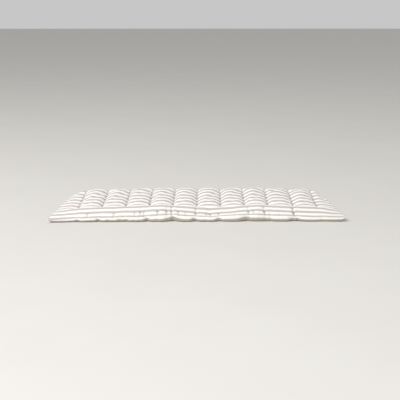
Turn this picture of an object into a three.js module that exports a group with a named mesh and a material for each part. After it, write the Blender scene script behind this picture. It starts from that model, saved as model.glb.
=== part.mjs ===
// A knife-edge bench cushion: two cotton panels sewn together round the rim, filled with soft fibre
// and tied through at rows of tufts, so that the top swells into puffs between the ties.
// Millimetres, +Z up. The origin is under the middle, on the surface the cushion lies on, front at -Y.
import * as THREE from "three";

// Finished size, from corner tip to corner tip
const LENGTH = 1100;
const DEPTH = 440;

// Tuft ties: how many, how far apart, how far behind the middle the rows lie,
// and how deep they draw in the top and the underside
const TUFT_COLUMNS = 11;
const TUFT_ROWS = 3;
const COLUMN_PITCH = 92.5;
const ROW_PITCH = 108;
const ROW_SHIFT = 28;
const TUFT_DIP = 19;
const TUFT_HOLLOW = 9;
const HOLLOW_RADIUS = 22;

// Creases between the ties: sharp and deep along the depth, shallow along the length. They run on to the
// back rim, and end soon in front of the front row, where the cover is a smooth roll
const COLUMN_CREASE = 17;
const ROW_CREASE = 2;
const COLUMN_ROUNDNESS = 0.5;
const ROW_ROUNDNESS = 1;
const CREASE_LEFT_AT_RIM = 0.6;
const CREASE_REACH_AT_FRONT = 0.3;

// Rim seam: its height above the surface, and how far the filling draws it in between the corners
const SEAM_HEIGHT = 18;
const SIDE_DRAW = 9;
const COLUMN_PUCKER = 5;
const ROW_PUCKER = 3;
const UNDERSIDE_REACH = 20;
const UNDERSIDE_PUCKER_REACH = 30;

// Corner tips: how far each lifts above the rest of the seam, and how far it stops short of the full length.
// The ends curve in towards the back tips
const END_CURVE = 1.7;
const CORNERS = {
  front: { left: { lift: -3, short: 0 }, right: { lift: 4, short: 0 } },
  back: { left: { lift: -4, short: 40 }, right: { lift: -3, short: 34 } },
};

// Puffs from left to right, as uneven as they lie: the height of the crown above the surface, halfway back,
// how far the front seam lifts in the middle of the puff, and how far the front roll swells above it
const PUFFS = [
  { crown: 35, frontLift: -3, frontSwell: 0 },
  { crown: 41, frontLift: -2, frontSwell: 1 },
  { crown: 43, frontLift: -1, frontSwell: 3 },
  { crown: 45, frontLift: 1, frontSwell: 4 },
  { crown: 48, frontLift: 8, frontSwell: 6 },
  { crown: 46, frontLift: 6, frontSwell: 1 },
  { crown: 44, frontLift: 1, frontSwell: -6 },
  { crown: 46, frontLift: 8, frontSwell: -2 },
  { crown: 49, frontLift: 9, frontSwell: 4 },
  { crown: 46, frontLift: 6, frontSwell: 1 },
  { crown: 44, frontLift: 0, frontSwell: 0 },
  { crown: 39, frontLift: -1, frontSwell: 0 },
];

// Tuft columns from left to right: how far each lifts the front seam off the surface
const COLUMNS = [
  { frontLift: -3 },
  { frontLift: -1 },
  { frontLift: 1 },
  { frontLift: 3 },
  { frontLift: 10 },
  { frontLift: 3 },
  { frontLift: 4 },
  { frontLift: 9 },
  { frontLift: 5 },
  { frontLift: 2 },
  { frontLift: -1 },
];
const BACK_LIFT = 4;
const CROWN_RISE_TO_BACK = 14;

// How the filling rises from the rim, the fuller the larger: a slope at the front and ends, fuller at the back
const FRONT_FULLNESS = 1.6;
const BACK_FULLNESS = 2.8;
const END_FULLNESS = 1.8;
const CREASE_END = 0.6;

// The tufts as they were tied: the last columns a little to the right, and all leaning that way to the back
const ASIDE = 7;
const ASIDE_FROM = 280;
const LEAN = 0.02;

// Mesh steps across one puff between two ties, and from the outermost tie to the rim
const PUFF_STEPS = 6;
const BORDER_STEPS = 7;
const BORDER_CROWDING = 1.7;

const OUTER_COLUMN = (COLUMN_PITCH * (TUFT_COLUMNS - 1)) / 2;
const OUTER_ROW = (ROW_PITCH * (TUFT_ROWS - 1)) / 2;

const { clamp, lerp } = THREE.MathUtils;

// Lines of the panel's grid along one direction: close together near creases and the rim
function gridLines(halfSize, outerTuft, pitch, shift) {
  const firstTuft = shift - outerTuft;
  const lastTuft = shift + outerTuft;
  const crowded = [];
  for (let step = 0; step < BORDER_STEPS; step += 1) {
    crowded.push((step / BORDER_STEPS) ** BORDER_CROWDING);
  }
  const lines = crowded.map((share) => lerp(-halfSize, firstTuft, share));
  const puffs = Math.round((2 * outerTuft) / pitch);
  for (let puff = 0; puff < puffs; puff += 1) {
    for (let step = 0; step < PUFF_STEPS; step += 1) {
      lines.push(firstTuft + pitch * (puff + (1 - Math.cos((Math.PI * step) / PUFF_STEPS)) / 2));
    }
  }
  lines.push(lastTuft, ...crowded.map((share) => lerp(halfSize, lastTuft, share)).reverse());
  return lines;
}

// How far a place lies into the border, 0 at the outermost tie and 1 at the rim
function intoBorder(place, outerTuft, halfSize) {
  return clamp((Math.abs(place) - outerTuft) / (halfSize - outerTuft), 0, 1);
}

// 1 on a line of ties and 0 midway between two lines: a sharp crease between puffs, rounder for a small power
function crease(place, outerTuft, halfSize, pitch, roundness) {
  const border = intoBorder(place, outerTuft, halfSize);
  if (border > 0) {
    return 1 - Math.sin((Math.PI / 2) * Math.min(border / CREASE_END, 1));
  }
  return 1 - Math.abs(Math.sin((Math.PI * (place - outerTuft)) / pitch)) ** roundness;
}

// A value from a row for each puff and, where given, for each tuft column between them
function alongLength(x, atPuff, atColumn) {
  const puff = clamp((x + OUTER_COLUMN) / COLUMN_PITCH + 0.5, 0, PUFFS.length - 1);
  const left = Math.min(Math.floor(puff), PUFFS.length - 2);
  const share = puff - left;
  if (!atColumn) {
    return lerp(atPuff(left), atPuff(left + 1), share);
  }
  const column = atColumn(left);
  return share < 0.5
    ? lerp(atPuff(left), column, share * 2)
    : lerp(column, atPuff(left + 1), share * 2 - 1);
}

// Where a place on the flat panels lies once the cushion is filled: its plan, top and underside
function filled(x, y) {
  const endBorder = intoBorder(x, OUTER_COLUMN, LENGTH / 2);
  const fromRows = y - ROW_SHIFT;
  const rowsToRim = fromRows < 0 ? DEPTH / 2 + ROW_SHIFT : DEPTH / 2 - ROW_SHIFT;
  const sideBorder = intoBorder(fromRows, OUTER_ROW, rowsToRim);
  const column = crease(x, OUTER_COLUMN, LENGTH / 2, COLUMN_PITCH, COLUMN_ROUNDNESS);
  const row = crease(fromRows, OUTER_ROW, rowsToRim, ROW_PITCH, ROW_ROUNDNESS);
  const alongEnd = Math.abs(y) / (DEPTH / 2);
  const alongSide = Math.abs(x) / (LENGTH / 2);

  const side = x < 0 ? "left" : "right";
  const corner = CORNERS[y < 0 ? "front" : "back"][side];
  const nearCorner = alongEnd ** 6 * alongSide ** 10;
  const taper = lerp(CORNERS.front[side].short, CORNERS.back[side].short, (y / DEPTH + 0.5) ** END_CURVE);
  const endDraw = endBorder * (taper + ROW_PUCKER * row * (1 - alongEnd ** 6));
  const sideDraw = sideBorder * (1 - alongSide ** 10) * (SIDE_DRAW + COLUMN_PUCKER * column);
  const aside = ASIDE * Math.sin(Math.PI * clamp((x - ASIDE_FROM) / (LENGTH / 2 - ASIDE_FROM), 0, 1));
  const lean = LEAN * Math.max(0, fromRows + OUTER_ROW) * (1 - endBorder);
  const planX = Math.sign(x) * (Math.abs(x) - endDraw) + aside + lean;
  const planY = Math.sign(y) * (Math.abs(y) - sideDraw);

  const frontLift = alongLength(x, (puff) => PUFFS[puff].frontLift, (tuft) => COLUMNS[tuft].frontLift);
  const lift = y < 0 ? frontLift : BACK_LIFT * column;
  const seam = SEAM_HEIGHT + corner.lift * nearCorner + lift * sideBorder * (1 - endBorder);

  const sideFullness = y < 0 ? FRONT_FULLNESS : BACK_FULLNESS;
  const full = (1 - endBorder ** END_FULLNESS) * (1 - sideBorder ** sideFullness);
  const crown = alongLength(x, (puff) => PUFFS[puff].crown) + (CROWN_RISE_TO_BACK * y) / (DEPTH / 2);
  const columnDip = lerp(COLUMN_CREASE, TUFT_DIP, row) * lerp(1, CREASE_LEFT_AT_RIM, sideBorder);
  const frontLeft = Math.max(0, 1 - sideBorder / CREASE_REACH_AT_FRONT) ** 2;
  const dip = fromRows < -OUTER_ROW
    ? lerp(ROW_CREASE, TUFT_DIP, column) * frontLeft
    : lerp(ROW_CREASE * row, columnDip, column);
  const frontSwell = alongLength(x, (puff) => PUFFS[puff].frontSwell);
  const swell = fromRows < 0 ? frontSwell * Math.sin(Math.PI * sideBorder) * (1 - endBorder) : 0;
  const top = seam + (crown - seam - dip) * full + swell;

  const nearSide = (1 - sideBorder) * (rowsToRim - OUTER_ROW);
  const nearEnd = (1 - endBorder) * (LENGTH / 2 - OUTER_COLUMN);
  const sideReach = UNDERSIDE_REACH + UNDERSIDE_PUCKER_REACH * column;
  const endReach = UNDERSIDE_REACH + UNDERSIDE_PUCKER_REACH * row;
  const sideRoll = Math.max(0, 1 - nearSide / sideReach) ** 2;
  const endRoll = Math.max(0, 1 - nearEnd / endReach) ** 2;
  const toColumn = Math.abs(x) > OUTER_COLUMN
    ? Math.abs(x) - OUTER_COLUMN
    : COLUMN_PITCH * Math.abs(Math.round(x / COLUMN_PITCH) - x / COLUMN_PITCH);
  const toRow = Math.abs(fromRows) > OUTER_ROW
    ? Math.abs(fromRows) - OUTER_ROW
    : ROW_PITCH * Math.abs(Math.round(fromRows / ROW_PITCH) - fromRows / ROW_PITCH);
  const hollow = TUFT_HOLLOW * Math.max(0, 1 - Math.hypot(toColumn, toRow) / HOLLOW_RADIUS);
  const underside = seam * (1 - (1 - sideRoll) * (1 - endRoll)) + hollow;
  return { planX, planY, top, underside };
}

// The closed cover: a top and a bottom panel over one grid, sharing the points of the rim seam
function stuffedCover() {
  const across = gridLines(LENGTH / 2, OUTER_COLUMN, COLUMN_PITCH, 0);
  const deep = gridLines(DEPTH / 2, OUTER_ROW, ROW_PITCH, ROW_SHIFT);
  const points = [];
  const topIndex = [];
  const undersideIndex = [];
  deep.forEach((y, j) => {
    across.forEach((x, i) => {
      const { planX, planY, top, underside } = filled(x, y);
      const onRim = i === 0 || j === 0 || i === across.length - 1 || j === deep.length - 1;
      topIndex.push(points.length / 3);
      points.push(planX, planY, top);
      if (!onRim) {
        undersideIndex.push(points.length / 3);
        points.push(planX, planY, underside);
      } else {
        undersideIndex.push(topIndex.at(-1));
      }
    });
  });

  const faces = [];
  const quad = (corners, index, upward, fromFirst) => {
    const [a, b, c, d] = (upward ? corners : [...corners].reverse()).map((corner) => index[corner]);
    if (fromFirst === upward) {
      faces.push(a, b, c, a, c, d);
    } else {
      faces.push(b, c, d, b, d, a);
    }
  };
  for (let j = 0; j < deep.length - 1; j += 1) {
    for (let i = 0; i < across.length - 1; i += 1) {
      const first = j * across.length + i;
      const corners = [first, first + 1, first + across.length + 1, first + across.length];
      const toCorner = (across[i] + across[i + 1]) * (deep[j] + deep[j + 1]) > 0;
      quad(corners, topIndex, true, toCorner);
      quad(corners, undersideIndex, false, toCorner);
    }
  }

  const geometry = new THREE.BufferGeometry();
  geometry.setAttribute("position", new THREE.Float32BufferAttribute(points, 3));
  geometry.setIndex(faces);
  geometry.computeVertexNormals();
  return geometry;
}

const ticking = new THREE.MeshStandardMaterial({ color: 0xe6e1d9, roughness: 0.9, metalness: 0 });
const cushion = new THREE.Mesh(stuffedCover(), ticking);
cushion.name = "cushion";

const benchCushion = new THREE.Group();
benchCushion.add(cushion);

export default benchCushion;
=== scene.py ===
import math

import bpy
import numpy as np
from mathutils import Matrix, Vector


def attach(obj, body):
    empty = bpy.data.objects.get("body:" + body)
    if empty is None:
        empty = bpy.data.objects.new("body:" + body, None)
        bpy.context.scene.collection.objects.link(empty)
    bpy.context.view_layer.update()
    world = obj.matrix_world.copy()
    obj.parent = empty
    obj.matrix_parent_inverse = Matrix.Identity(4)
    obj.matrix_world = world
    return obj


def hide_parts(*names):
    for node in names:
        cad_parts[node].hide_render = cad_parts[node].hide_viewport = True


# Frame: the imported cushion, in metres, front at -Y, lying on Z 0. Its box is read before anything is added,
# and nothing stays selected, so that later operators act on their own piece alone.
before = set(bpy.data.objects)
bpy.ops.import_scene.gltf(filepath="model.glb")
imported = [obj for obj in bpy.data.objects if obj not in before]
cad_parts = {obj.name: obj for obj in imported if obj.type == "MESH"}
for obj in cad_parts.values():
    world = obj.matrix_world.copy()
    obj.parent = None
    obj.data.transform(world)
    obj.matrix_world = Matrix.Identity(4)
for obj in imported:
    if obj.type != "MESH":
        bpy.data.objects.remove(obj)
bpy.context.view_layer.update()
bpy.ops.object.select_all(action="DESELECT")

# Camera: at the photograph's place, in front of the cushion and a little above it, looking slightly down.
# A short telephoto lens, with no shift and no blur.
CAMERA_PLACE = (-0.027, -3.238, 0.78)
CAMERA_PITCH_DOWN = 12.93
CAMERA_TURN_RIGHT = 0.72
CAMERA_LENS = 75.2
camera_turn = (math.radians(90 - CAMERA_PITCH_DOWN), 0, math.radians(-CAMERA_TURN_RIGHT))
bpy.ops.object.camera_add(location=CAMERA_PLACE, rotation=camera_turn)
camera = bpy.context.object
camera.name = "photo_camera"
camera.data.lens = CAMERA_LENS
camera.data.sensor_width = 36.0
bpy.context.scene.camera = camera

# Cover: two rectangular panels of striped cotton ticking, sewn together round the rim with no boxing strip,
# filled with soft fibre and tied through at three rows of eleven tufts. The cloth starts as flat panels,
# its seam, ties and creases are drawn to their places, and pressure inside swells it between them.
MM = 0.001
LENGTH = 1100.0
DEPTH = 440.0
TUFT_COLUMNS = 11
TUFT_ROWS = 3
COLUMN_PITCH = 92.5
ROW_PITCH = 108.0
ROW_SHIFT = 28.0
OUTER_COLUMN = COLUMN_PITCH * (TUFT_COLUMNS - 1) / 2
OUTER_ROW = ROW_PITCH * (TUFT_ROWS - 1) / 2
SEAM_HEIGHT = 18.0

# Puffs and tuft columns from left to right, in mm: how high each puff stands, how far the front seam lifts
# under it, how far its front roll swells, and how far the front seam lifts at each column between them
PUFF_CROWNS = [35, 41, 43, 45, 48, 46, 44, 46, 49, 46, 44, 39]
PUFF_FRONT_LIFTS = [-3, -2, -1, 1, 8, 6, 1, 8, 9, 6, 0, -1]
PUFF_FRONT_SWELLS = [0, 1, 3, 4, 6, 1, -6, -2, 4, 1, 0, 0]
COLUMN_FRONT_LIFTS = [-3, -1, 1, 3, 10, 3, 4, 9, 5, 2, -1]
CROWN_RISE_TO_BACK = 14.0

# Fullness from the outer ties to the rim: the higher, the longer the cloth stays up before it falls
END_FULLNESS = 1.8
FRONT_FULLNESS = 1.6
BACK_FULLNESS = 2.8

# Creases between the ties, in mm of depth, and how much of them is left on the way to the rim
TUFT_DIP = 19.0
COLUMN_CREASE = 17.0
ROW_CREASE = 2.0
COLUMN_ROUNDNESS = 0.5
ROW_ROUNDNESS = 1
CREASE_END = 0.6
CREASE_LEFT_AT_RIM = 0.6
CREASE_REACH_AT_FRONT = 0.3
TUFT_HOLLOW = 9.0
HOLLOW_RADIUS = 22.0

# Plan, in mm: the ends run in towards the back, the sides are drawn in between the corners, the puffs by
# the right end sit a little further right, and the columns of ties lean to the right towards the back
LEFT_BACK_SHORT = 40.0
RIGHT_BACK_SHORT = 34.0
END_CURVE = 1.7
SIDE_DRAW = 9.0
COLUMN_PUCKER = 5.0
ROW_PUCKER = 3.0
ASIDE = 7.0
ASIDE_FROM = 280.0
LEAN = 0.02
FRONT_CORNER_LIFTS = (-3, 4)
BACK_CORNER_LIFTS = (-4, -3)
BACK_LIFT = 4.0
CORNER_SHARPNESS_ACROSS = 6
CORNER_SHARPNESS_ALONG = 10
puff_middles = COLUMN_PITCH * (np.arange(TUFT_COLUMNS + 1) - TUFT_COLUMNS / 2)
tuft_columns = COLUMN_PITCH * (np.arange(TUFT_COLUMNS) - (TUFT_COLUMNS - 1) / 2)
tuft_rows = ROW_PITCH * (np.arange(TUFT_ROWS) - (TUFT_ROWS - 1) / 2) + ROW_SHIFT


def into_border(place, outer, half):
    """How far a place is from the outer ties to the rim, from 0 to 1."""
    return np.clip((np.abs(place) - outer) / (half - outer), 0, 1)


def crease(place, outer, half, pitch, roundness):
    """1 on a line of ties, 0 midway between two of them, and fading from the outer ties to the rim."""
    border = into_border(place, outer, half)
    fading = 1 - np.sin(np.pi / 2 * np.minimum(border / CREASE_END, 1))
    between = 1 - np.abs(np.sin(np.pi * (place - outer) / pitch)) ** roundness
    return np.where(border > 0, fading, between)


def blend(start, end, share):
    return start + (end - start) * share


def filled_shape(x, y):
    """Plan, top and the hollow under each tie, in mm, of a place on the flat panels once filled."""
    end = into_border(x, OUTER_COLUMN, LENGTH / 2)
    from_rows = y - ROW_SHIFT
    to_rim = np.where(from_rows < 0, DEPTH / 2 + ROW_SHIFT, DEPTH / 2 - ROW_SHIFT)
    side = into_border(from_rows, OUTER_ROW, to_rim)
    column = crease(x, OUTER_COLUMN, LENGTH / 2, COLUMN_PITCH, COLUMN_ROUNDNESS)
    row = crease(from_rows, OUTER_ROW, to_rim, ROW_PITCH, ROW_ROUNDNESS)
    end_corner = (np.abs(y) / (DEPTH / 2)) ** CORNER_SHARPNESS_ACROSS
    side_corner = (np.abs(x) / (LENGTH / 2)) ** CORNER_SHARPNESS_ALONG

    back_short = np.where(x < 0, LEFT_BACK_SHORT, RIGHT_BACK_SHORT) * (y / DEPTH + 0.5) ** END_CURVE
    end_draw = end * (back_short + ROW_PUCKER * row * (1 - end_corner))
    side_draw = side * (1 - side_corner) * (SIDE_DRAW + COLUMN_PUCKER * column)
    aside = ASIDE * np.sin(np.pi * np.clip((x - ASIDE_FROM) / (LENGTH / 2 - ASIDE_FROM), 0, 1))
    lean = LEAN * np.maximum(from_rows + OUTER_ROW, 0) * (1 - end)
    plan_x = np.sign(x) * (np.abs(x) - end_draw) + aside + lean
    plan_y = np.sign(y) * (np.abs(y) - side_draw)

    front_corner_lift = np.where(x < 0, FRONT_CORNER_LIFTS[0], FRONT_CORNER_LIFTS[1])
    back_corner_lift = np.where(x < 0, BACK_CORNER_LIFTS[0], BACK_CORNER_LIFTS[1])
    corner_lift = np.where(y < 0, front_corner_lift, back_corner_lift)
    stations = np.r_[puff_middles, tuft_columns]
    lifts = np.r_[PUFF_FRONT_LIFTS, COLUMN_FRONT_LIFTS]
    order = np.argsort(stations)
    front_lift = np.interp(x, stations[order], lifts[order])
    lift = np.where(y < 0, front_lift, BACK_LIFT * column)
    seam = SEAM_HEIGHT + corner_lift * end_corner * side_corner + lift * side * (1 - end)

    full = (1 - end**END_FULLNESS) * (1 - side ** np.where(y < 0, FRONT_FULLNESS, BACK_FULLNESS))
    crown = np.interp(x, puff_middles, PUFF_CROWNS) + CROWN_RISE_TO_BACK * y / (DEPTH / 2)
    column_dip = blend(COLUMN_CREASE, TUFT_DIP, row) * blend(1, CREASE_LEFT_AT_RIM, side)
    front_dip = blend(ROW_CREASE, TUFT_DIP, column) * np.maximum(0, 1 - side / CREASE_REACH_AT_FRONT) ** 2
    dip = np.where(from_rows < -OUTER_ROW, front_dip, blend(ROW_CREASE * row, column_dip, column))
    swell = np.interp(x, puff_middles, PUFF_FRONT_SWELLS) * np.sin(np.pi * side) * (1 - end)
    top = seam + (crown - seam - dip) * full + np.where(from_rows < 0, swell, 0)

    to_column = np.min(np.abs(np.subtract.outer(x, tuft_columns)), axis=-1)
    to_row = np.min(np.abs(np.subtract.outer(y, tuft_rows)), axis=-1)
    hollow = TUFT_HOLLOW * np.maximum(0, 1 - np.hypot(to_column, to_row) / HOLLOW_RADIUS)
    return plan_x, plan_y, top, hollow


# Lines of the cloth's grid: even along the filled shape, so that the flat panels have the length that it
# takes, and closer together towards the rim
PUFF_CELLS = 15
ROW_CELLS = 16
END_CELLS = 14
FRONT_CELLS = 22
BACK_CELLS = 16
RIM_CROWDING = 1.35
PROFILE_POINTS = 400


def cloth_lines(stops, cells, profile):
    """Places of the grid's lines on the filled shape's plan, and on the flat cloth, in mm."""
    places = [stops[0]]
    flat = [0.0]
    for part, (start, stop, count) in enumerate(zip(stops, stops[1:], cells)):
        fine = np.linspace(start, stop, PROFILE_POINTS)
        steps = np.linalg.norm(np.diff(profile(fine), axis=0), axis=1)
        run = np.r_[0, np.cumsum(steps)]
        shares = np.linspace(0, 1, count + 1)
        if part == 0:
            shares = shares**RIM_CROWDING
        if part == len(cells) - 1:
            shares = 1 - (1 - shares) ** RIM_CROWDING
        along = run[-1] * shares[1:]
        places.extend(np.interp(along, run, fine))
        flat.extend(along + flat[-1])
    places = np.array(places)
    flat = np.array(flat)
    return places, flat - np.interp(0, places, flat)


def along_length(x):
    plan_x, plan_y, top, hollow = filled_shape(x, np.full_like(x, ROW_SHIFT + ROW_PITCH / 2))
    return np.stack([plan_x, plan_y, top], axis=-1)


def along_depth(y):
    plan_x, plan_y, top, hollow = filled_shape(np.full_like(y, COLUMN_PITCH / 2), y)
    return np.stack([plan_x, plan_y, top], axis=-1)


length_cells = [END_CELLS] + [PUFF_CELLS] * (TUFT_COLUMNS - 1) + [END_CELLS]
depth_cells = [FRONT_CELLS] + [ROW_CELLS] * (TUFT_ROWS - 1) + [BACK_CELLS]
place_x, flat_x = cloth_lines(np.r_[-LENGTH / 2, tuft_columns, LENGTH / 2], length_cells, along_length)
place_y, flat_y = cloth_lines(np.r_[-DEPTH / 2, tuft_rows, DEPTH / 2], depth_cells, along_depth)
grid_x, grid_y = np.meshgrid(place_x, place_y)
cloth_x, cloth_y = np.meshgrid(flat_x, flat_y)
drawn_x, drawn_y, drawn_top, hollow = filled_shape(grid_x, grid_y)

# Rim puckers: where the seam's thread drew the cloth in, each as its place along the front seam, how far it
# is drawn in, how far it lifts, and half its width, in mm. At the back and the ends they fall by chance.
FRONT_PUCKERS = [
    (-448, 3, 2, 8),
    (-413, 3, 1, 6),
    (-370, 2, 1, 7),
    (-333, 2, 1, 7),
    (-312, 3, 1, 6),
    (-291, 2, 1, 6),
    (-265, 2, 1, 6),
    (-237, 3, 1, 6),
    (-213, 3, 1, 6),
    (-189, 2, 2, 9),
    (-150, 4, 1, 6),
    (-112, 4, 1, 6),
    (-90, 3, 2, 8),
    (-11, 3, 2, 7),
    (33, 3, 1, 6),
    (82, 3, 2, 7),
    (196, 4, 1, 6),
    (211, 3, 1, 6),
    (258, 4, 1, 6),
    (273, 3, 1, 6),
    (351, 3, 1, 6),
    (364, 5, 2, 6),
    (376, 2, 1, 6),
]
BACK_PUCKER_PLACES = np.arange(-500, 501, 50)
BACK_PUCKER_STRAY = 18
BACK_PUCKER_HALF_WIDTHS = (6, 10)
BACK_PUCKER_DRAWS = (1, 4)
BACK_PUCKER_LIFTS = (0, 3)
END_PUCKER_PLACES = np.arange(-160, 161, 40)
END_PUCKER_STRAY = 14
END_PUCKER_HALF_WIDTHS = (6, 9)
END_PUCKER_DRAWS = (1, 3)
random = np.random.default_rng(11)
for place, draw, lift, half_width in FRONT_PUCKERS:
    pucker = np.exp(-(((drawn_x[0] - place) / half_width) ** 2))
    drawn_y[0] += draw * pucker
    drawn_top[0] += lift * pucker
back_stray = random.uniform(-BACK_PUCKER_STRAY, BACK_PUCKER_STRAY, len(BACK_PUCKER_PLACES))
for place in BACK_PUCKER_PLACES + back_stray:
    pucker = np.exp(-(((drawn_x[-1] - place) / random.uniform(*BACK_PUCKER_HALF_WIDTHS)) ** 2))
    drawn_y[-1] -= random.uniform(*BACK_PUCKER_DRAWS) * pucker
    drawn_top[-1] += random.uniform(*BACK_PUCKER_LIFTS) * pucker
for line, inward in ((0, 1), (-1, -1)):
    end_stray = random.uniform(-END_PUCKER_STRAY, END_PUCKER_STRAY, len(END_PUCKER_PLACES))
    for place in END_PUCKER_PLACES + end_stray:
        pucker = np.exp(-(((drawn_y[:, line] - place) / random.uniform(*END_PUCKER_HALF_WIDTHS)) ** 2))
        drawn_x[:, line] += inward * random.uniform(*END_PUCKER_DRAWS) * pucker

# Corner tips: the cloth turned out to a point beyond the rest of the rim, each as its row and column of the
# grid, and how far it goes to the right, to the back and up, in mm
TIP_REACH = 30.0
CORNER_TIPS = [
    (0, 0, -8, -3, -2),
    (0, -1, 7, -3, 1),
    (-1, 0, -4, 3, 0),
    (-1, -1, 4, 3, 0),
]
for row, column, out_x, out_y, up in CORNER_TIPS:
    to_tip = np.hypot(grid_x - grid_x[row, column], grid_y - grid_y[row, column])
    tip = np.exp(-to_tip / TIP_REACH)
    drawn_x += out_x * tip
    drawn_y += out_y * tip
    drawn_top += up * tip

# Front creases: short folds that run up from the front seam, each as its place along the seam and its depth
# in mm, and how far up the front it runs as a share of its height. They fade where they meet the seam.
# Along each one, shade is painted into the cloth's colour, darker for deeper creases.
FRONT_CREASES = [
    (-448, 4, 0.25),
    (-413, 5, 0.4),
    (-358, 3, 0.25),
    (-312, 5, 0.4),
    (-278, 4, 0.25),
    (-237, 5, 0.4),
    (-214, 4, 0.65),
    (-198, 5, 0.4),
    (-150, 5, 0.6),
    (-112, 5, 0.65),
    (-95, 5, 0.9),
    (-70, 4, 0.5),
    (-40, 3, 0.4),
    (-2, 5, 0.85),
    (33, 4, 0.4),
    (52, 4, 0.6),
    (82, 4, 0.5),
    (140, 3, 0.3),
    (196, 5, 0.7),
    (211, 4, 0.4),
    (232, 3, 0.3),
    (258, 6, 0.75),
    (273, 4, 0.3),
    (310, 3, 0.3),
    (358, 7, 0.95),
    (371, 4, 0.3),
]
CREASE_HALF_WIDTH = 4.5
CREASE_RISE = 0.7
CREASE_DEEPENING = 1.3
SEAM_SHARE = 0.25
DEPTH_LOST_AT_SEAM = 0.95
SHADE_LOST_AT_SEAM = 0.4
FULL_SHADE_DEPTH = 4
SOFT_PITCH = 20
SOFT_WAVE = 1.0
front_share = np.clip((tuft_rows[0] - grid_y) / (tuft_rows[0] + DEPTH / 2), 0, 1)
surface = np.stack([drawn_x, drawn_y, drawn_top], axis=-1)
outward = np.cross(np.gradient(surface, axis=1), np.gradient(surface, axis=0))
outward /= np.linalg.norm(outward, axis=-1, keepdims=True)
near_seam = np.clip((front_share - 1 + SEAM_SHARE) / SEAM_SHARE, 0, 1)
relief = np.zeros_like(grid_x)
# How much painted shade darkens each point's colour, which also sets how crisp its crease edges are
crease_and_painted_shade = np.zeros_like(grid_x)
for place, depth, reach in FRONT_CREASES:
    crease_line = np.argmin(np.abs(place_x - place))
    rising = np.clip((front_share - 1 + reach) / reach, 0, 1) ** CREASE_RISE
    across_fold = np.exp(-(((grid_x - place_x[crease_line]) / CREASE_HALF_WIDTH) ** 2))
    relief -= CREASE_DEEPENING * depth * rising * across_fold * (1 - DEPTH_LOST_AT_SEAM * near_seam)
    # Painted shade: the crease's line of points is darkened in proportion to its depth, and less near the
    # seam
    shade = rising * depth / FULL_SHADE_DEPTH * (1 - SHADE_LOST_AT_SEAM * near_seam)
    crease_and_painted_shade[:, crease_line] = np.maximum(crease_and_painted_shade[:, crease_line], shade[:, crease_line])
soft_places = np.arange(-LENGTH / 2, LENGTH / 2 + 1, SOFT_PITCH)
softness = random.uniform(-SOFT_WAVE, SOFT_WAVE, len(soft_places))
relief += np.interp(drawn_x, soft_places, softness) * np.sin(np.pi * front_share) ** 2
drawn_x += outward[..., 0] * relief
drawn_y += outward[..., 1] * relief
drawn_top += outward[..., 2] * relief

# Roll under the seam: the lower panel bulges out below the rim before it turns in under the cushion,
# and is drawn in and lifted off the surface at the ties' columns and rows
ROLL_RUN = 27.0
ROLL_RUN_PULLED = 20
ROLL_TURN = 11.0
ROLL_TURN_PULLED = 14
ROLL_BULGE = 3.0
tuft_line_x = END_CELLS + PUFF_CELLS * np.arange(TUFT_COLUMNS)
tuft_line_y = FRONT_CELLS + ROW_CELLS * np.arange(TUFT_ROWS)


def roll_under(plan, flat, pull, tie_lines, axis):
    """The lower panel's plan along one direction, and the height of its roll in mm."""
    rolled_plan = plan
    height = np.zeros_like(plan)
    run = ROLL_RUN + ROLL_RUN_PULLED * pull
    turn = ROLL_TURN + ROLL_TURN_PULLED * pull
    bulge = ROLL_BULGE * np.maximum(0, 1 - pull)
    for edge, tie, inward in ((0, tie_lines[0], 1), (-1, tie_lines[-1], -1)):
        rim = np.take(plan, [edge], axis=axis)
        to_tie_plan = np.abs(np.take(plan, [tie], axis=axis) - rim)
        from_rim = np.abs(flat - np.take(flat, [edge], axis=axis))
        to_tie = np.take(from_rim, [tie], axis=axis)
        angle = np.pi / 2 * np.minimum(from_rim / run, 1)
        rolled = turn * (1 - np.cos(angle)) - bulge * np.sin(2 * angle)
        beyond = np.maximum(from_rim - run, 0) / (to_tie - run) * (to_tie_plan - turn)
        rolled_plan = np.where(from_rim < to_tie, rim + inward * (rolled + beyond), rolled_plan)
        height = np.maximum(height, np.take(drawn_top, [edge], axis=axis) * (1 - np.sin(angle)))
    return rolled_plan, height


# Arches along the front, each as its place, how strongly the roll is drawn in, and half its width in mm
FRONT_ARCHES = [
    (-448, 0.5, 10),
    (-396, 0.3, 8),
    (-370, 0.6, 10),
    (-333, 0.4, 8),
    (-291, 0.5, 8),
    (-265, 0.5, 8),
    (-189, 0.6, 12),
    (-88, 1.0, 20),
    (-11, 0.6, 10),
    (78, 0.6, 10),
    (181, 1.0, 18),
    (235, 0.5, 35),
    (351, 0.6, 8),
    (373, 0.6, 8),
]
BACK_PULL_ROUNDNESS = 0.6
CORNER_REACH_ALONG = 30
CORNER_REACH_ACROSS = 60
CORNER_SIDE_PULL = 1.2
CORNER_END_PULL = 1.6
front_pull = np.zeros_like(grid_x)
for place, strength, half_width in FRONT_ARCHES:
    front_pull = np.maximum(front_pull, strength * np.exp(-(((grid_x - place) / half_width) ** 2)))
back_pull = crease(grid_x, OUTER_COLUMN, LENGTH / 2, COLUMN_PITCH, BACK_PULL_ROUNDNESS)
to_end = LENGTH / 2 - np.abs(grid_x)
to_side = DEPTH / 2 - np.abs(grid_y)
corner_pull = np.exp(-(to_end / CORNER_REACH_ALONG)) * np.exp(-(to_side / CORNER_REACH_ACROSS))
column_pull = np.where(grid_y < 0, front_pull, back_pull) + CORNER_SIDE_PULL * corner_pull
to_row = np.min(np.abs(np.subtract.outer(grid_y, tuft_rows)), axis=-1)
row_pull = np.maximum(0, 1 - to_row / (ROW_PITCH / 2)) ** 2 + CORNER_END_PULL * corner_pull
under_y, side_height = roll_under(drawn_y, cloth_y, column_pull, tuft_line_y, 0)
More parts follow.
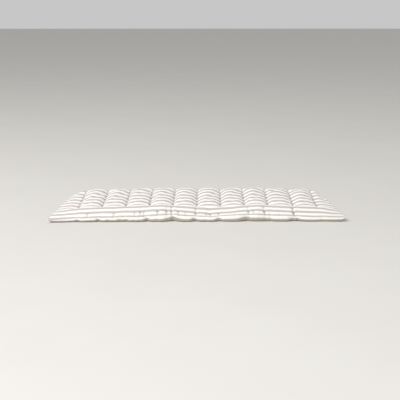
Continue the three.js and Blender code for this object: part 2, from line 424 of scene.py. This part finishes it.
under_x, end_height = roll_under(drawn_x, cloth_x, row_pull, tuft_line_x, 1)
roll_height = side_height + end_height - side_height * end_height / SEAM_HEIGHT
drawn_under = np.maximum(roll_height, 0) + hollow

# One sewn cover: the bottom panel shares the points of the rim seam with the top panel
rows, columns = grid_x.shape
top_points = np.arange(rows * columns).reshape(rows, columns)
inside = np.ones((rows, columns), dtype=bool)
inside[[0, -1], :] = False
inside[:, [0, -1]] = False
under_points = top_points.copy()
under_points[inside] = rows * columns + np.arange(inside.sum())


def both_panels(upper, lower):
    """Points of the sewn cover in metres: the upper panel with the rim, then the lower panel inside it."""
    upper_points = np.stack(upper, axis=-1).reshape(-1, 3)
    lower_points = np.stack(lower, axis=-1)[inside]
    return np.concatenate([upper_points, lower_points]) * MM


def panel_faces(points):
    corners = [points[:-1, :-1], points[:-1, 1:], points[1:, 1:], points[1:, :-1]]
    return np.stack(corners, axis=-1).reshape(-1, 4)


drawn = both_panels((drawn_x, drawn_y, drawn_top), (under_x, under_y, drawn_under))
START_HEIGHT = 20.0
START_GAP = 2.0
START_UNEVEN = 0.2
lying = np.where(inside, START_GAP, 0)
flat_panels = both_panels(
    (cloth_x, cloth_y, START_HEIGHT + lying),
    (cloth_x, cloth_y, START_HEIGHT - lying),
)
flat_panels += random.normal(0, START_UNEVEN * MM, flat_panels.shape)
faces = np.concatenate([panel_faces(top_points), panel_faces(under_points)[:, ::-1]])

# Held places: the rim, the front roll, the roll under the seam, the ties, and the creases that run from
# tie to tie and on, up to a few lines from the back seam
FREE_LINES_AT_BACK = 3
top_held = ~inside
top_held[tuft_line_y[0] : -FREE_LINES_AT_BACK, tuft_line_x] = True
top_held[: tuft_line_y[0] + 1, :] = True
under_held = ~inside | (roll_height > 0)
under_held[np.ix_(tuft_line_y, tuft_line_x)] = True
pinned = np.unique(np.concatenate([top_points[top_held], under_points[under_held]]))

# Swelling: the cloth is drawn to its held places over the first frames and then settles. Half of its
# movement away from the drawn shape is kept, because all of it would round the creases off.
DRAW_FRAMES = 20
SETTLED_FRAME = 36
FURTHEST_MOVE = 16.0
SETTLE_SHARE = 0.5
settled = drawn.copy()
sewing_mesh = bpy.data.meshes.new("sewing")
sewing_mesh.from_pydata(flat_panels.tolist(), [], faces.tolist())
sewing = bpy.data.objects.new("sewing", sewing_mesh)
bpy.context.collection.objects.link(sewing)
sewing.shape_key_add(name="flat")
draw_in = sewing.shape_key_add(name="drawn")
draw_in.data.foreach_set("co", drawn.ravel())
draw_in.value = 0.0
draw_in.keyframe_insert("value", frame=1)
draw_in.value = 1.0
draw_in.keyframe_insert("value", frame=DRAW_FRAMES)
pins = sewing.vertex_groups.new(name="pins")
pins.add(pinned.tolist(), 1.0, "REPLACE")
cloth = sewing.modifiers.new("Cloth", "CLOTH")
cloth.settings.quality = 5
cloth.settings.mass = 0.3
cloth.settings.tension_stiffness = 20.0
cloth.settings.compression_stiffness = 20.0
cloth.settings.shear_stiffness = 5.0
cloth.settings.bending_stiffness = 0.05
cloth.settings.tension_damping = 5.0
cloth.settings.compression_damping = 5.0
cloth.settings.shear_damping = 5.0
cloth.settings.air_damping = 3.0
cloth.settings.vertex_group_mass = "pins"
cloth.settings.use_pressure = True
cloth.settings.uniform_pressure_force = 5.0
cloth.settings.effector_weights.gravity = 0.0
cloth.collision_settings.use_collision = False
cloth.point_cache.frame_start = 1
cloth.point_cache.frame_end = 250
for step in range(1, SETTLED_FRAME + 1):
    bpy.context.scene.frame_set(step)
swollen = sewing.evaluated_get(bpy.context.evaluated_depsgraph_get())
coordinates = np.empty(drawn.size, dtype=np.float32)
swollen.data.vertices.foreach_get("co", coordinates)
bpy.data.objects.remove(sewing)
bpy.data.meshes.remove(sewing_mesh)
bpy.context.scene.frame_set(1)
move = coordinates.reshape(-1, 3) - drawn
distance = np.linalg.norm(move, axis=1, keepdims=True)
within_reach = np.minimum(1, FURTHEST_MOVE * MM / np.maximum(distance, 1e-9))
settled = drawn + SETTLE_SHARE * move * within_reach
settled[:, 2] = np.maximum(settled[:, 2], 0)

cover_mesh = bpy.data.meshes.new("cushion_cover")
cover_mesh.from_pydata(settled.tolist(), [], faces.tolist())
cover = bpy.data.objects.new("cushion_cover", cover_mesh)
bpy.context.collection.objects.link(cover)

# The cloth's own map, in metres of flat cloth: U along the stripes, V across them from the front seam.
# The panels are cut from the same cloth, with the stripes of the lower one falling differently at the seam.
TOP_CUT = 26.0
UNDER_CUT = 13.0
grid_corners = panel_faces(top_points)
from_seam = (cloth_y - flat_y[0]).ravel()
top_map = np.stack([cloth_x.ravel(), from_seam + TOP_CUT], axis=-1) * MM
under_map = np.stack([cloth_x.ravel(), from_seam + UNDER_CUT], axis=-1) * MM
corner_map = np.concatenate([top_map[grid_corners.ravel()], under_map[grid_corners[:, ::-1].ravel()]])
cloth_map = cover_mesh.uv_layers.new(name="cloth")
cloth_map.uv.foreach_set("vector", corner_map.astype(np.float32).ravel())

# Creases are kept crisp where the ties and the front folds draw the cloth in, and painted shade darkens the
# cloth's colour inside them and in a thin line along the rim seam. Edges along a crease join points that
# are one grid row apart.
DEEPEST_SHADE = 1.5
RIM_CREASE = 0.7
RIM_SHADE = 0.25
# Painted shade at full strength along the crease lines of the tie columns
crease_and_painted_shade[tuft_line_y[0] :, tuft_line_x] = 1.0
capped_crease_and_painted_shade = np.zeros(len(settled))
capped_crease_and_painted_shade[top_points.ravel()] = np.minimum(crease_and_painted_shade, DEEPEST_SHADE).ravel()
on_rim = np.zeros(len(settled), dtype=bool)
on_rim[top_points[~inside]] = True
edge_ends = np.empty(2 * len(cover_mesh.edges), dtype=np.int32)
cover_mesh.edges.foreach_get("vertices", edge_ends)
edge_ends = edge_ends.reshape(-1, 2)
along_fold = np.abs(edge_ends[:, 0] - edge_ends[:, 1]) == columns
fold_edges = np.where(along_fold, np.minimum(capped_crease_and_painted_shade[edge_ends[:, 0]], capped_crease_and_painted_shade[edge_ends[:, 1]]), 0)
rim_edges = on_rim[edge_ends[:, 0]] & on_rim[edge_ends[:, 1]]
fold_edges = np.maximum(fold_edges, RIM_CREASE * rim_edges)
edge_crease = cover_mesh.attributes.new("crease_edge", "FLOAT", "EDGE")
edge_crease.data.foreach_set("value", np.minimum(fold_edges, 1).astype(np.float32))
# Per-point painted shade: the creases, and a thin darkening along the rim seam
fold_shade = cover_mesh.attributes.new("crease_and_painted_shade", "FLOAT", "POINT")
fold_shade.data.foreach_set("value", np.maximum(capped_crease_and_painted_shade, RIM_SHADE * on_rim).astype(np.float32))

bpy.context.view_layer.objects.active = cover
cover.select_set(True)
bpy.ops.object.shade_smooth()
smoothing = cover.modifiers.new("smooth cloth", "SUBSURF")
smoothing.levels = 1
smoothing.render_levels = 1
bpy.ops.object.modifier_apply(modifier="smooth cloth")
bpy.ops.object.select_all(action="DESELECT")


def linear(hex_colour):
    """An sRGB hex colour as linear red, green, blue and full opacity."""
    parts = [int(hex_colour[place : place + 2], 16) / 255 for place in (1, 3, 5)]
    return [part / 12.92 if part <= 0.04045 else ((part + 0.055) / 1.055) ** 2.4 for part in parts] + [1.0]


def add_node(tree, kind, inputs, **settings):
    """A node with its settings, its inputs set to values or linked to other nodes' outputs."""
    node = tree.nodes.new(kind)
    for name, value in settings.items():
        setattr(node, name, value)
    for socket, value in inputs.items():
        if isinstance(value, bpy.types.NodeSocket):
            tree.links.new(value, node.inputs[socket])
        else:
            node.inputs[socket].default_value = value
    return node


# Cotton ticking, plain woven with warp stripes: matt and slightly fuzzy, the taupe stripe softened by the
# white weft that crosses it, with yarns of uneven thickness. The weave is drawn at a 1 mm pitch, coarser
# than the real half millimetre, so that it shows from close by. WAVE_BANDS is how many bands a wave texture
# draws in one unit at scale 1.
STRIPE_PERIOD = 42.0
WHITE_WIDTH = 22.0
STRIPE_EDGE = 0.8
STRIPE_SWAY = 1.2
SWAY_SIZE = 25.0
YARN_PITCH = 1.0
SLUBS_PER_MM = 0.03
CRUMPLES_PER_MM = 0.07
# How strongly painted shade darkens the colour in creases and along the rim seam
PAINTED_SHADE_STRENGTH = 0.5
WAVE_BANDS = 20 / (2 * math.pi)
ticking = bpy.data.materials.new("cotton ticking")
ticking.use_nodes = True
tree = ticking.node_tree
shader = tree.nodes["Principled BSDF"]
cloth_place = add_node(tree, "ShaderNodeUVMap", {}, uv_map="cloth").outputs["UV"]
in_mm = add_node(
    tree,
    "ShaderNodeVectorMath",
    {0: cloth_place, "Scale": 1 / MM},
    operation="SCALE",
).outputs[0]
uneven = add_node(tree, "ShaderNodeTexNoise", {"Vector": in_mm, "Scale": 1 / SWAY_SIZE, "Detail": 2.0})
sway = add_node(
    tree,
    "ShaderNodeMapRange",
    {"Value": uneven.outputs["Fac"], "To Min": -STRIPE_SWAY, "To Max": STRIPE_SWAY},
).outputs[0]
parts = add_node(tree, "ShaderNodeSeparateXYZ", {0: in_mm})
across = add_node(tree, "ShaderNodeMath", {0: parts.outputs["Y"], 1: sway}, operation="ADD").outputs[0]
within = add_node(
    tree,
    "ShaderNodeMath",
    {0: across, 1: STRIPE_PERIOD},
    operation="FLOORED_MODULO",
).outputs[0]
from_middle = add_node(
    tree,
    "ShaderNodeMath",
    {0: within, 1: WHITE_WIDTH / 2},
    operation="SUBTRACT",
).outputs[0]
to_middle = add_node(tree, "ShaderNodeMath", {0: from_middle}, operation="ABSOLUTE").outputs[0]
far_side = add_node(
    tree,
    "ShaderNodeMath",
    {0: STRIPE_PERIOD, 1: to_middle},
    operation="SUBTRACT",
).outputs[0]
nearest = add_node(tree, "ShaderNodeMath", {0: to_middle, 1: far_side}, operation="MINIMUM").outputs[0]
stripe = add_node(
    tree,
    "ShaderNodeMapRange",
    {
        "Value": nearest,
        "From Min": WHITE_WIDTH / 2 - STRIPE_EDGE,
        "From Max": WHITE_WIDTH / 2 + STRIPE_EDGE,
    },
    interpolation_type="SMOOTHSTEP",
).outputs[0]
yarn_scale = add_node(
    tree,
    "ShaderNodeMapping",
    {"Vector": in_mm, "Scale": (SLUBS_PER_MM, 1 / YARN_PITCH, 1.0)},
).outputs[0]
yarns = add_node(
    tree,
    "ShaderNodeTexNoise",
    {"Vector": yarn_scale, "Scale": 1.0, "Detail": 2.0},
).outputs["Fac"]
weft_scale = add_node(
    tree,
    "ShaderNodeMapping",
    {"Vector": in_mm, "Scale": (1 / YARN_PITCH, SLUBS_PER_MM, 1.0)},
).outputs[0]
wefts = add_node(
    tree,
    "ShaderNodeTexNoise",
    {"Vector": weft_scale, "Scale": 1.0, "Detail": 2.0},
).outputs["Fac"]
DARK_TAUPE = linear("#aca299")
PALE_TAUPE = linear("#cac3bb")
DARK_WHITE = linear("#e7e4e0")
PALE_WHITE = linear("#f2f0ed")
# Colour of the painted shade in creases and along the rim seam
PAINTED_SHADE_COLOUR = linear("#5f574e")
MIX_FROM = 6
MIX_TO = 7
taupe = add_node(
    tree,
    "ShaderNodeMix",
    {"Factor": yarns, MIX_FROM: DARK_TAUPE, MIX_TO: PALE_TAUPE},
    data_type="RGBA",
).outputs[2]
white = add_node(
    tree,
    "ShaderNodeMix",
    {"Factor": wefts, MIX_FROM: DARK_WHITE, MIX_TO: PALE_WHITE},
    data_type="RGBA",
).outputs[2]
striped = add_node(
    tree,
    "ShaderNodeMix",
    {"Factor": stripe, MIX_FROM: white, MIX_TO: taupe},
    data_type="RGBA",
).outputs[2]
# Painted shade: the striped colour is mixed towards a dark grey-brown by each point's painted shade amount
painted_shade_amount = add_node(tree, "ShaderNodeAttribute", {}, attribute_name="crease_and_painted_shade").outputs["Fac"]
painted_shade_share = add_node(
    tree,
    "ShaderNodeMath",
    {0: painted_shade_amount, 1: PAINTED_SHADE_STRENGTH},
    operation="MULTIPLY",
).outputs[0]
with_painted_shade = add_node(
    tree,
    "ShaderNodeMix",
    {"Factor": painted_shade_share, MIX_FROM: striped, MIX_TO: PAINTED_SHADE_COLOUR},
    data_type="RGBA",
).outputs[2]
tree.links.new(with_painted_shade, shader.inputs["Base Color"])
wave_scale = 1 / (WAVE_BANDS * YARN_PITCH)
warp_wave = add_node(tree, "ShaderNodeTexWave", {"Vector": in_mm, "Scale": wave_scale}, bands_direction="Y")
weft_wave = add_node(tree, "ShaderNodeTexWave", {"Vector": in_mm, "Scale": wave_scale}, bands_direction="X")
weave = add_node(
    tree,
    "ShaderNodeMath",
    {0: warp_wave.outputs["Fac"], 1: weft_wave.outputs["Fac"]},
    operation="MULTIPLY",
).outputs[0]
slubs = add_node(tree, "ShaderNodeMath", {0: yarns, 1: wefts}, operation="ADD").outputs[0]
cloth_relief = add_node(tree, "ShaderNodeMath", {0: weave, 1: slubs}, operation="ADD").outputs[0]
crumple = add_node(
    tree,
    "ShaderNodeTexNoise",
    {"Vector": in_mm, "Scale": CRUMPLES_PER_MM, "Detail": 3.0, "Roughness": 0.55},
).outputs["Fac"]
soft_bump = add_node(tree, "ShaderNodeBump", {"Height": crumple, "Strength": 0.35, "Distance": 2.5 * MM})
weave_bump = add_node(
    tree,
    "ShaderNodeBump",
    {"Height": cloth_relief, "Strength": 0.4, "Distance": 0.15 * MM, "Normal": soft_bump.outputs[0]},
)
tree.links.new(weave_bump.outputs[0], shader.inputs["Normal"])
shader.inputs["Roughness"].default_value = 0.9
shader.inputs["Specular IOR Level"].default_value = 0.25
shader.inputs["Sheen Weight"].default_value = 0.2
shader.inputs["Sheen Roughness"].default_value = 0.5
cover_mesh.materials.append(ticking)
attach(cover, "root")
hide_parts("cushion")

# Tuft ties: short bars of doubled cotton thread, drawn through both panels at each tie and sunk in its
# dimple. Each bar is a few strands side by side with one wound over their middle.
THREAD = 1.3
BAR_LENGTH = 9.0
BAR_STRANDS = 3
BAR_ARCH = 1.2
BAR_ARCH_FALL = 2.2
BAR_GATHER = 0.35
BAR_TURN = 0.35
WOUND_LIFT = 0.8
WOUND_REACH = 0.6
WOUND_SLANT = 1.2
FRONT_PROUD = 2.6
PROUD = 0.6
strands = []
for strand in range(BAR_STRANDS + 1):
    bpy.ops.curve.primitive_nurbs_path_add()
    path = bpy.context.object
    path.data.dimensions = "3D"
    path.data.bevel_depth = THREAD / 2 * MM
    path.data.bevel_resolution = 1
    path.data.resolution_u = 2
    path.data.use_fill_caps = True
    wound = strand == BAR_STRANDS
    for step, point in enumerate(path.data.splines[0].points):
        share = step / 2 - 1
        lift = BAR_ARCH * (1 - BAR_ARCH_FALL * share**2) + (THREAD * WOUND_LIFT if wound else 0)
        aside = (strand - (BAR_STRANDS - 1) / 2) * THREAD
        if wound:
            spot = (share * BAR_STRANDS * THREAD * WOUND_REACH, share * WOUND_SLANT, lift)
        else:
            spot = (aside * (1 - BAR_GATHER * share**2), share * BAR_LENGTH / 2, lift)
        point.co = [part * MM for part in spot] + [1.0]
    bpy.ops.object.convert(target="MESH")
    strands.append(bpy.context.object)
bpy.ops.object.select_all(action="DESELECT")
for strand in strands:
    strand.select_set(True)
bpy.context.view_layer.objects.active = strands[0]
bpy.ops.object.join()
bar = bpy.context.object
bpy.ops.object.transform_apply(location=True, rotation=True, scale=True)
bars = [bar]
front_ties = top_points[tuft_line_y[0], tuft_line_x]
for panel, facing in ((top_points, 1), (under_points, -1)):
    for tuft in panel[np.ix_(tuft_line_y, tuft_line_x)].ravel():
        copy = bar.copy()
        copy.data = bar.data.copy()
        bpy.context.collection.objects.link(copy)
        proud = FRONT_PROUD if tuft in front_ties else PROUD
        copy.location = Vector(settled[tuft]) + Vector((0, 0, facing * proud * MM))
        roll = 0 if facing > 0 else math.pi
        copy.rotation_euler = (0, roll, random.uniform(-BAR_TURN, BAR_TURN))
        bars.append(copy)
bpy.data.objects.remove(bars.pop(0))
bpy.ops.object.select_all(action="DESELECT")
for copy in bars:
    copy.select_set(True)
bpy.context.view_layer.objects.active = bars[0]
bpy.ops.object.join()
ties = bpy.context.object
ties.name = "tuft_ties"
bpy.ops.object.transform_apply(location=True, rotation=True, scale=True)
bpy.ops.object.shade_smooth()
bpy.ops.object.select_all(action="DESELECT")

# Cotton thread, twisted: off-white and matt, with a fine diagonal twist at a 0.8 mm pitch
TWIST_PITCH = 0.8
thread = bpy.data.materials.new("cotton thread")
thread.use_nodes = True
tree = thread.node_tree
shader = tree.nodes["Principled BSDF"]
place = add_node(tree, "ShaderNodeTexCoord", {}).outputs["Object"]
place_mm = add_node(
    tree,
    "ShaderNodeVectorMath",
    {0: place, "Scale": 1 / MM},
    operation="SCALE",
).outputs[0]
twist = add_node(
    tree,
    "ShaderNodeTexWave",
    {"Vector": place_mm, "Scale": 1 / (WAVE_BANDS * TWIST_PITCH)},
    bands_direction="DIAGONAL",
).outputs["Fac"]
yarn_shade = add_node(
    tree,
    "ShaderNodeMix",
    {"Factor": twist, MIX_FROM: linear("#d9d2c6"), MIX_TO: linear("#f0ece4")},
    data_type="RGBA",
).outputs[2]
tree.links.new(yarn_shade, shader.inputs["Base Color"])
twist_bump = add_node(tree, "ShaderNodeBump", {"Height": twist, "Strength": 0.5, "Distance": 0.2 * MM})
tree.links.new(twist_bump.outputs[0], shader.inputs["Normal"])
shader.inputs["Roughness"].default_value = 0.85
shader.inputs["Specular IOR Level"].default_value = 0.3
ties.data.materials.append(thread)
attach(ties, "root")

# Studio: a wide pale floor under the cushion, one large soft key from the upper left in front of it,
# and an even pale surround for fill. Colours are shown as they are.
bpy.ops.mesh.primitive_plane_add(size=60.0, location=(0, 0, 0))
floor = bpy.context.object
floor.name = "studio_floor"
paper = bpy.data.materials.new("pale studio paper")
paper.use_nodes = True
tree = paper.node_tree
shader = tree.nodes["Principled BSDF"]
place = add_node(tree, "ShaderNodeTexCoord", {}).outputs["Object"]
mottle = add_node(tree, "ShaderNodeTexNoise", {"Vector": place, "Scale": 3.0, "Detail": 3.0}).outputs["Fac"]
paper_shade = add_node(
    tree,
    "ShaderNodeMix",
    {"Factor": mottle, MIX_FROM: linear("#cdcac5"), MIX_TO: linear("#d2d0cb")},
    data_type="RGBA",
).outputs[2]
tree.links.new(paper_shade, shader.inputs["Base Color"])
shader.inputs["Roughness"].default_value = 0.95
floor.data.materials.append(paper)

KEY_PLACE = Vector((-3.0, -4.3, 5.1))
bpy.ops.object.light_add(type="AREA", location=KEY_PLACE)
key = bpy.context.object
key.name = "key_light"
key.data.energy = 500.0
key.data.size = 3.8
key.rotation_euler = (-KEY_PLACE).to_track_quat("-Z", "Y").to_euler()
surround = bpy.data.worlds.new("pale surround")
bpy.context.scene.world = surround
surround.use_nodes = True
background = surround.node_tree.nodes["Background"]
background.inputs["Color"].default_value = (1.0, 1.0, 1.0, 1.0)
background.inputs["Strength"].default_value = 0.57
bpy.context.scene.view_settings.view_transform = "Standard"
bpy.ops.object.select_all(action="DESELECT")
